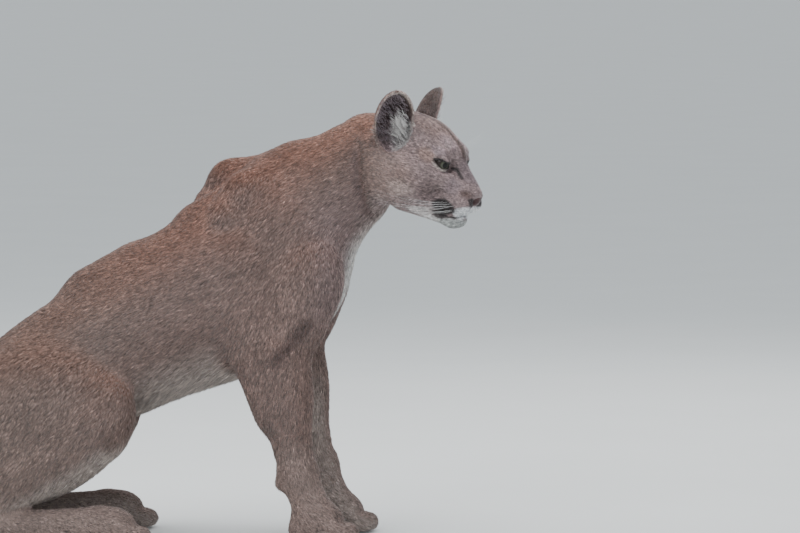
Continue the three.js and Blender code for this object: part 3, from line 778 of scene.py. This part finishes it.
def keep_largest(places, quads):
    """Drops loose scraps: quads whose vertices aren't joined to the largest body."""
    label = np.arange(len(places))
    while True:
        low = label[quads].min(1)
        fresh = label.copy()
        for c in range(4):
            np.minimum.at(fresh, quads[:, c], low)
        fresh = fresh[fresh]
        if (fresh == label).all():
            break
        label = fresh
    main = np.bincount(label[quads[:, 0]]).argmax()
    return quads[label[quads[:, 0]] == main]


def compact(places, faces, *others):
    used = np.unique(faces)
    number = np.full(len(places), -1, np.int64)
    number[used] = np.arange(len(used))
    return (places[used], number[faces], *[o[used] for o in others])


def nose_share(q):
    """How far inside the nose's bare leather a head place is: above 0 inside."""
    turned = (q - NOSE_AT) @ turn_y(NOSE_TURN)
    return 1 - np.sqrt(((turned / NOSE_RADII) ** 2).sum(1))


FLESH = ("torso", "neck", "head", "nose", "tail_root", "tail_middle", "tail_tip", "foreleg_left",
         "foreleg_right", "forepaw_left", "forepaw_right", "hindleg_left", "hindleg_right",
         "hindfoot_left", "hindfoot_right", "ear_left", "ear_right")


class Shader:
    """A material's node tree, built step by step."""

    def __init__(self, name):
        self.material = bpy.data.materials.new(name)
        self.material.use_nodes = True
        self.tree = self.material.node_tree
        self.surface = self.tree.nodes["Principled BSDF"]

    def node(self, kind, inputs=(), **settings):
        made = self.tree.nodes.new(kind)
        for key, value in settings.items():
            setattr(made, key, value)
        for key, value in dict(inputs).items():
            if hasattr(value, "is_output"):
                self.tree.links.new(value, made.inputs[key])
            else:
                made.inputs[key].default_value = value
        return made

    def link(self, source, socket):
        self.tree.links.new(source, self.surface.inputs[socket])

    def set(self, **values):
        for key, value in values.items():
            self.surface.inputs[key.replace("_", " ")].default_value = value

    def noise(self, scale, detail=3.0, roughness=0.55, stretch=(1, 1, 1)):
        place = self.node("ShaderNodeTexCoord").outputs["Object"]
        spread = self.node("ShaderNodeMapping", {"Vector": place, "Scale": stretch})
        return self.node("ShaderNodeTexNoise", {"Vector": spread.outputs[0], "Scale": scale,
                                                "Detail": detail, "Roughness": roughness}).outputs[0]

    def bump(self, height, strength, distance):
        made = self.node("ShaderNodeBump", {"Height": height, "Strength": strength, "Distance": distance})
        self.link(made.outputs[0], "Normal")


def shaded(shader, colour, height, low, high):
    """Multiplies a colour by a grey that follows a height from low to high."""
    grey = shader.node("ShaderNodeMapRange", {0: height, 1: 0.3, 2: 0.7, 3: low, 4: high})
    made = shader.node("ShaderNodeVectorMath", {0: colour, 1: grey.outputs[0]}, operation="MULTIPLY")
    return made.outputs[0]


def two_tone(shader, share, low, high):
    """Mixes two colours by a share from 0 to 1."""
    return shader.node("ShaderNodeMix", {0: share, 6: (*low, 1), 7: (*high, 1)}, data_type="RGBA").outputs[2]


def coat_material(name, grain):
    shader = Shader(name)
    colour = shader.node("ShaderNodeAttribute", attribute_name="Coat").outputs["Color"]
    broad = shader.noise(14, 4)
    fine = shader.noise(grain, 3, 0.7, (1, 1, 0.45))
    tone = shaded(shader, shaded(shader, colour, broad, 0.88, 1.12), fine, 0.8, 1.2)
    shader.link(tone, "Base Color")
    rough = shader.node("ShaderNodeMapRange", {0: fine, 3: 0.62, 4: 0.85}).outputs[0]
    shader.link(rough, "Roughness")
    shader.set(Sheen_Weight=0.22, Sheen_Roughness=0.4, Specular_IOR_Level=0.25)
    shader.bump(fine, 0.5, 0.0012)
    return shader.material


def nose_material():
    shader = Shader("nose_leather")
    pebbles = shader.node("ShaderNodeTexVoronoi", {
        "Vector": shader.node("ShaderNodeTexCoord").outputs["Object"], "Scale": 900.0})
    mottle = shader.noise(120, 4)
    shader.link(two_tone(shader, mottle, (0.022, 0.009, 0.01), (0.075, 0.024, 0.024)), "Base Color")
    shader.link(shader.node("ShaderNodeMapRange", {0: mottle, 3: 0.3, 4: 0.55}).outputs[0], "Roughness")
    shader.bump(pebbles.outputs["Distance"], 0.4, 0.0006)
    return shader.material


def eye_material():
    shader = Shader("eye_gloss")
    colour = shader.node("ShaderNodeAttribute", attribute_name="Coat").outputs["Color"]
    streaks = shader.noise(500, 4, 0.7)
    shader.link(shaded(shader, colour, streaks, 0.7, 1.3), "Base Color")
    shader.link(shader.node("ShaderNodeMapRange", {0: streaks, 3: 0.04, 4: 0.08}).outputs[0], "Roughness")
    shader.set(Coat_Weight=0.15, Coat_Roughness=0.02, Specular_IOR_Level=0.15)
    return shader.material


def hair_material():
    shader = Shader("whisker")
    tone = shader.noise(60, 2)
    shader.link(two_tone(shader, tone, (0.7, 0.68, 0.66), (0.95, 0.94, 0.92)), "Base Color")
    shader.link(shader.node("ShaderNodeMapRange", {0: tone, 3: 0.3, 4: 0.5}).outputs[0], "Roughness")
    return shader.material


def patch_places(p, n, near):
    """Each place's own spot on an atlas of charts: one for each body group, side and facing."""
    names = ("trunk", "fore", "hind", "forepaw", "hindfoot", "tail", "head", "ear")
    group = np.argmin(np.stack([near[name] for name in names]), 0)
    axis = np.argmax(np.abs(n), 1)
    facing = axis * 2 + (n[np.arange(len(n)), axis] > 0)
    side = (p[:, 1] > 0).astype(int)
    chart = group * 12 + side * 6 + facing
    rows = 10
    uv = np.zeros((len(p), 2))
    for number in np.unique(chart):
        here = chart == number
        a = number % 6 // 2
        flat = p[here][:, [(a + 1) % 3, (a + 2) % 3]]
        low = flat.min(0)
        spread = max(np.ptp(flat, axis=0).max(), 1)
        spot = np.array([number % rows, number // rows]) + 0.05 + 0.9 * (flat - low) / spread
        uv[here] = spot / rows
    return uv


PATCH = 0.0015


def tuft_mesh(name, root, normal, way, length, width, lift, colour, uv):
    """Four-faced tufts: a small triangle at the root, drawn out to a point along the coat."""
    across = np.cross(normal, way)
    half = across * width[:, None] / 2
    sink = normal * (0.25 * width)[:, None]
    tip = way * (length * np.cos(lift))[:, None] + normal * (length * np.sin(lift))[:, None]
    places = np.stack([root + half - sink, root - half - sink,
                       root + normal * (0.3 * width)[:, None], root + tip], 1)
    places[:, :, 2] = np.maximum(places[:, :, 2], 0.6)
    shade = np.array([0.8, 0.8, 0.92, 1.12])
    tones = colour[:, None, :] * shade[None, :, None]
    first = 4 * np.arange(len(root))[:, None]
    faces = np.concatenate([first + f for f in ([0, 2, 3], [1, 3, 2], [0, 3, 1], [0, 1, 2])], 1)
    spots = np.array([(-PATCH, -PATCH), (PATCH, -PATCH), (0, PATCH), (0, 0)])
    patch = uv[:, None, :] + spots[None]
    return new_object(name, places.reshape(-1, 3), faces.reshape(-1, 3), tones.reshape(-1, 3),
                      patch.reshape(-1, 2))


def scatter(places, normals, quads, count, weight):
    """Places and normals spread over the skin, by area and by a weight for each quad."""
    triangles = np.concatenate([quads[:, [0, 1, 2]], quads[:, [0, 2, 3]]])
    a, b, c = (places[triangles[:, i]] for i in range(3))
    area = np.linalg.norm(np.cross(b - a, c - a), axis=1) * np.tile(weight, 2)
    share = np.cumsum(area) / area.sum()
    picked = np.searchsorted(share, (np.arange(count) + RNG.random(count)) / count)
    picked = triangles[np.minimum(picked, len(triangles) - 1)]
    u, v = RNG.random(count), RNG.random(count)
    flip = u + v > 1
    u[flip], v[flip] = 1 - u[flip], 1 - v[flip]
    bary = np.stack([1 - u - v, u, v], 1)[:, :, None]
    return (places[picked] * bary).sum(1), unit((normals[picked] * bary).sum(1))


TUFTS = 345000
PIECE_TUFTS = 48000
TUFT_LENGTH = 10.5
TUFT_WIDTH = 2.1


def coat(places, normals, quads, near):
    """The short coat: fine tufts all over, smallest on the face and feet."""
    middle = quads[:, 0]
    head = ramp(near["head"][middle], 25, 5)
    ear = ramp(near["ear"][middle], 12, 4)
    feet = ramp(np.minimum(near["forepaw"], near["hindfoot"])[middle], 12, 2)
    weight = 1 + 3.0 * np.maximum(head, ear) + 1.0 * feet
    root, normal = scatter(places, normals, quads, TUFTS, weight)
    q = to_head(root)
    q[:, 1] = np.abs(q[:, 1])
    g = gaze_place(q)
    bare = (nose_share(q) > -0.05) | ((lid_lens(g) < 1.4) & (g[:, 0] > 0) & (np.linalg.norm(g, axis=1) < 30))
    bare |= distance(NOSTRIL, q) < 1.0
    bare |= (root[:, 2] < 4) & (normal[:, 2] < -0.8)
    root, normal, q = root[~bare], normal[~bare], q[~bare]
    close = group_distances(root)
    way = lie(root, normal, close)
    way = unit(way + 0.16 * RNG.normal(size=way.shape))
    way = unit(way - normal * (way * normal).sum(1)[:, None])
    head = np.maximum(ramp(close["head"], 25, 5), ramp(close["ear"], 12, 4))
    muzzle = head * ramp(q[:, 0], -10, 45)
    feet = ramp(np.minimum(close["forepaw"], close["hindfoot"]), 12, 2)
    long = ramp(normal[:, 2], -0.3, -0.9) * ramp(root[:, 2], 120, 240) * (1 - head)
    tail = ramp(close["tail"], 6, 1)
    length = TUFT_LENGTH * (1 - 0.46 * head) * (1 - 0.35 * muzzle) * (1 - 0.4 * feet)
    length *= 1 + 0.7 * long + 0.25 * tail
    length *= RNG.uniform(0.7, 1.25, len(root))
    width = TUFT_WIDTH * (1 - 0.42 * head) * (1 - 0.25 * muzzle) * (1 - 0.3 * feet)
    width *= RNG.uniform(0.7, 1.2, len(root))
    lift = np.radians(RNG.uniform(3, 13, len(root)) + 8 * long + 4 * tail)
    colour = markings_with_painted_shade_and_light(root, normal, close)
    grain = np.exp(RNG.normal(0, 0.22, len(root)))
    fleck = RNG.random(len(root))
    grain = np.where(fleck < 0.1 + 0.1 * head, grain * 0.45, np.where(fleck > 0.9, grain * 1.35, grain))
    grain = grain * np.exp((0.6 + 0.3 * head) * (speckle(root) - 0.5))
    colour = np.clip(colour * grain[:, None], 0, 0.9)
    uv = patch_places(root, normal, close)
    order = np.argsort(root[:, 0])
    pieces = []
    for number, part in enumerate(np.array_split(order, math.ceil(len(order) / PIECE_TUFTS))):
        pieces.append(tuft_mesh(f"coat_{number:02d}", root[part], normal[part], way[part], length[part],
                                width[part], lift[part], colour[part], uv[part]))
    return pieces


def strand(path, radius, sides=3):
    """A tapering closed hair along a path: its vertices and triangles."""
    count = len(path)
    along = unit(np.gradient(path, axis=0))
    u = unit(np.cross(along, V(0.3, 0.2, 1)))
    w = np.cross(along, u)
    size = radius * (1 - np.linspace(0, 1, count) ** 1.6 * 0.85)
    angle = np.arange(sides) * 2 * math.pi / sides
    rings = path[:, None] + size[:, None, None] * (
        u[:, None] * np.cos(angle)[None, :, None] + w[:, None] * np.sin(angle)[None, :, None])
    faces = []
    for i in range(count - 1):
        for s in range(sides):
            a, b = i * sides + s, i * sides + (s + 1) % sides
            faces += [(a, b, b + sides), (a, b + sides, a + sides)]
    last = (count - 1) * sides
    faces += [(0, s + 1, s) for s in range(1, sides - 1)]
    faces += [(last, last + s, last + s + 1) for s in range(1, sides - 1)]
    return rings.reshape(-1, 3), np.array(faces)


def joined(strands):
    places, faces, first = [], [], 0
    for p, f in strands:
        places.append(p)
        faces.append(f + first)
        first += len(p)
    return np.concatenate(places), np.concatenate(faces)


def onto_skin(q, outward, reach=30):
    """Moves a head place along a direction until it meets the skin."""
    p, way = from_head(q), HEAD_AXES @ outward
    for share in np.linspace(-1, 1, 61):
        spot = p - way * share * reach
        if field(spot[None])[0] < 0:
            return spot
    return p


WHISKER = 0.17  # half thickness at the root


def whiskers(side):
    """Rows of whiskers from the upper lip, swept back along the cheek, and a few on the brow."""
    strands = []
    for row in range(3):
        for place in range(4):
            q = V(44 - 8 * place - 2 * row, side * 24, -64 - 6 * row)
            q = q + RNG.uniform(-2.5, 2.5, 3) * V(1, 0, 1)
            root = onto_skin(q, V(0.15, side, 0))
            length = RNG.uniform(0.75, 1.1) * (78 + 12 * place)
            start = unit(V(-0.35 - 0.08 * place, side * 0.8, -0.2 - 0.04 * row))
            end = unit(V(-0.93, side * (0.3 - 0.04 * place), 0.02 - 0.08 * row + RNG.normal(0, 0.06)))
            strands.append(strand(swept(root, start, end, length), WHISKER))
    for place in range(4):
        root = onto_skin(V(8 - 4 * place, side * 36, 22 + 2 * place), V(0.5, side * 0.5, 0.7))
        start = unit(V(0.5, side * 0.5, 0.7 - 0.1 * place))
        end = unit(V(0.1, side * 0.75, 0.5))
        strands.append(strand(swept(root, start, end, RNG.uniform(35, 60)), 0.7 * WHISKER))
    return strands


def swept(root, start, end, length, count=9):
    """A path that leaves the skin one way and bends over to another, both in the head's frame."""
    share = np.linspace(0, 1, count)[:, None]
    ways = unit(start * (1 - share) ** 2 + end * (1 - (1 - share) ** 2)) @ HEAD_AXES.T
    steps = ways[:-1] * length / (count - 1)
    return np.concatenate([root[None] - ways[:1] * 1.5, root + np.cumsum(steps, 0)])


EAR_HAIRS = 700


def ear_hairs(side):
    """Hairs that fill the ear's cup: a white tuft low at its front, and greyer hairs all over."""
    strands, tones = [], []
    flip = V(1, side, 1)
    middle, radii = EAR_HOLLOW
    for number in range(EAR_HAIRS):
        tuft = number < 0.45 * EAR_HAIRS
        angle = RNG.uniform(0, 2 * math.pi)
        out = 0.9 * math.sqrt(RNG.random())
        across, up = out * math.cos(angle), out * math.sin(angle)
        if tuft:
            across, up = np.clip(RNG.normal((-0.6, -0.3), (0.17, 0.22)), -0.85, 0.4)
        deep = math.sqrt(max(0.05, 1 - across ** 2 - up ** 2))
        root = from_head(((middle + radii * V(across, up, -deep)) @ EAR_AXES + EAR_ROOT) * flip)
        start = unit(V(0.3, 0.25, 0.9) @ EAR_AXES * flip)
        end = unit(V(0.62 + RNG.normal(0, 0.15), 0.7 + RNG.normal(0, 0.15), 0.3) @ EAR_AXES * flip)
        length = RNG.uniform(22, 38) if tuft else RNG.uniform(16, 30)
        places, faces = strand(swept(root, start, end, length, 6), 0.5)
        dark, light = (WHITE, WHITE * 1.15) if tuft else (SLATE * 1.4, MAUVE * 1.15)
        tone = mix(dark, light, RNG.random())
        strands.append((places, faces))
        tones.append(np.repeat(tone[None], len(places), 0))
    return strands, np.concatenate(tones)


def eyeball(side):
    """The eye: a sphere with a raised clear front, coloured by rings round the gaze."""
    rings, round_ = 40, 48
    theta = np.linspace(0, math.pi, rings + 1)[1:-1]
    phi = np.arange(round_) * 2 * math.pi / round_
    radius = EYE_RADIUS - EYE_GAP + CORNEA * ramp(theta, 0.75, 0.3)
    t, f = np.meshgrid(theta, phi, indexing="ij")
    r = radius[:, None]
    local = np.stack([r * np.cos(t), r * np.sin(t) * np.cos(f), r * np.sin(t) * np.sin(f)], 2)
    local = local.reshape(-1, 3)
    front = EYE_RADIUS - EYE_GAP + CORNEA
    local = np.concatenate([local, [[front, 0, 0], [-EYE_RADIUS, 0, 0]]])
    faces = []
    for i in range(rings - 2):
        for s in range(round_):
            a, b = i * round_ + s, i * round_ + (s + 1) % round_
            faces += [(a, a + round_, b + round_), (a, b + round_, b)]
    top, low = len(local) - 2, len(local) - 1
    last = (rings - 2) * round_
    faces += [(top, s, (s + 1) % round_) for s in range(round_)]
    faces += [(low, last + (s + 1) % round_, last + s) for s in range(round_)]
    gaze = turn_z(side * GAZE_OUT) @ turn_y(GAZE_DOWN)
    angle = np.concatenate([np.repeat(theta, round_), [0, math.pi]])
    iris = mix(V(0.07, 0.074, 0.054), V(0.03, 0.03, 0.02), ramp(angle, 0.4, 0.64))
    colour = mix(iris, V(0.004, 0.004, 0.004), ramp(angle, 0.4, 0.34))
    colour = mix(colour, V(0.02, 0.014, 0.012), ramp(angle, 0.6, 0.68))
    places = from_head(local @ gaze.T + EYE * (1, side, 1))
    name = "left" if side > 0 else "right"
    made = new_object(f"eyeball_{name}", places, np.array(faces), colour)
    made.data.materials.append(eye_material())
    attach(made, "root")
    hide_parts(f"eye_{name}")


def dress():
    places, quads = skin_mesh()
    normals = unit(gradient(places, field(places)))
    near = group_distances(places)
    colours = markings_with_painted_shade_and_light(places, normals, near)
    in_nose = nose_share(to_head(places))[quads].mean(1) > 0
    skin_places, skin_quads, skin_colours = compact(places, quads[~in_nose], colours)
    skin = new_object("skin", skin_places, skin_quads, skin_colours)
    skin.data.materials.append(coat_material("skin_coat", 420))
    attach(skin, "root")
    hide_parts(*FLESH)
    nose_places, nose_quads = compact(places, quads[in_nose])
    nose = new_object("nose_pad", nose_places, nose_quads)
    nose.data.materials.append(nose_material())
    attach(nose, "root")
    fur = coat_material("tuft_coat", 260)
    for piece in coat(places, normals, quads[~in_nose], near):
        piece.data.materials.append(fur)
        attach(piece, "root")
    hair = hair_material()
    for side in SIDES:
        eyeball(side)
        name = "left" if side > 0 else "right"
        made = new_object(f"whiskers_{name}", *joined(whiskers(side)))
        made.data.materials.append(hair)
        strands, tones = ear_hairs(side)
        ear = new_object(f"ear_hair_{name}", *joined(strands), tones)
        ear.data.materials.append(fur)
        for piece in (made, ear):
            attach(piece, "root")


FLOOR_HALF = 70  # metres


def floor_and_light():
    mesh = bpy.data.meshes.new("floor")
    corners = [(x * FLOOR_HALF, y * FLOOR_HALF, 0) for x, y in ((-1, -1), (1, -1), (1, 1), (-1, 1))]
    mesh.from_pydata(corners, [], [(0, 1, 2, 3)])
    floor = bpy.data.objects.new("floor", mesh)
    bpy.context.scene.collection.objects.link(floor)
    shader = Shader("pale_floor")
    tone = shader.noise(3, 2)
    shader.link(two_tone(shader, tone, (0.66, 0.67, 0.66), (0.70, 0.71, 0.70)), "Base Color")
    shader.set(Roughness=0.9)
    mesh.materials.append(shader.material)
    world = bpy.data.worlds.new("studio")
    world.use_nodes = True
    world.node_tree.nodes["Background"].inputs["Color"].default_value = (0.86, 0.92, 0.97, 1)
    world.node_tree.nodes["Background"].inputs["Strength"].default_value = 0.95
    bpy.context.scene.world = world
    lights = (("overhead", (-0.2, -0.4, 3.6), 3.0, 125), ("key", (-1.6, -3.4, 2.8), 2.2, 70),
              ("rim", (1.8, 2.6, 2.6), 2.0, 45))
    for name, place, size, power in lights:
        light = bpy.data.lights.new(name, "AREA")
        light.size = size
        light.energy = power
        made = bpy.data.objects.new(name, light)
        made.location = place
        aim = SHIFT + V(0.45, 0, 0.4) - V(*place)
        made.rotation_euler = turn_towards(aim)
        bpy.context.scene.collection.objects.link(made)


def turn_towards(aim):
    """The turn that points a camera or light along a direction."""
    return Vector(aim).to_track_quat("-Z", "Y").to_euler()


# The photograph's camera: what its middle looks at, how far away and how steeply down.
VIEW_AT = V(787, 0, 467)
VIEW_FAR = 9000
VIEW_DOWN = math.radians(4)
VIEW_WIDE = 1376


def camera():
    data = bpy.data.cameras.new("camera")
    data.sensor_width = 36
    data.lens = 36 * VIEW_FAR / VIEW_WIDE
    made = bpy.data.objects.new("camera", data)
    look = V(0, math.cos(VIEW_DOWN), -math.sin(VIEW_DOWN))
    made.location = to_frame(VIEW_AT - look * VIEW_FAR)
    made.rotation_euler = turn_towards(look)
    bpy.context.scene.collection.objects.link(made)
    bpy.context.scene.camera = made


dress()
floor_and_light()
camera()
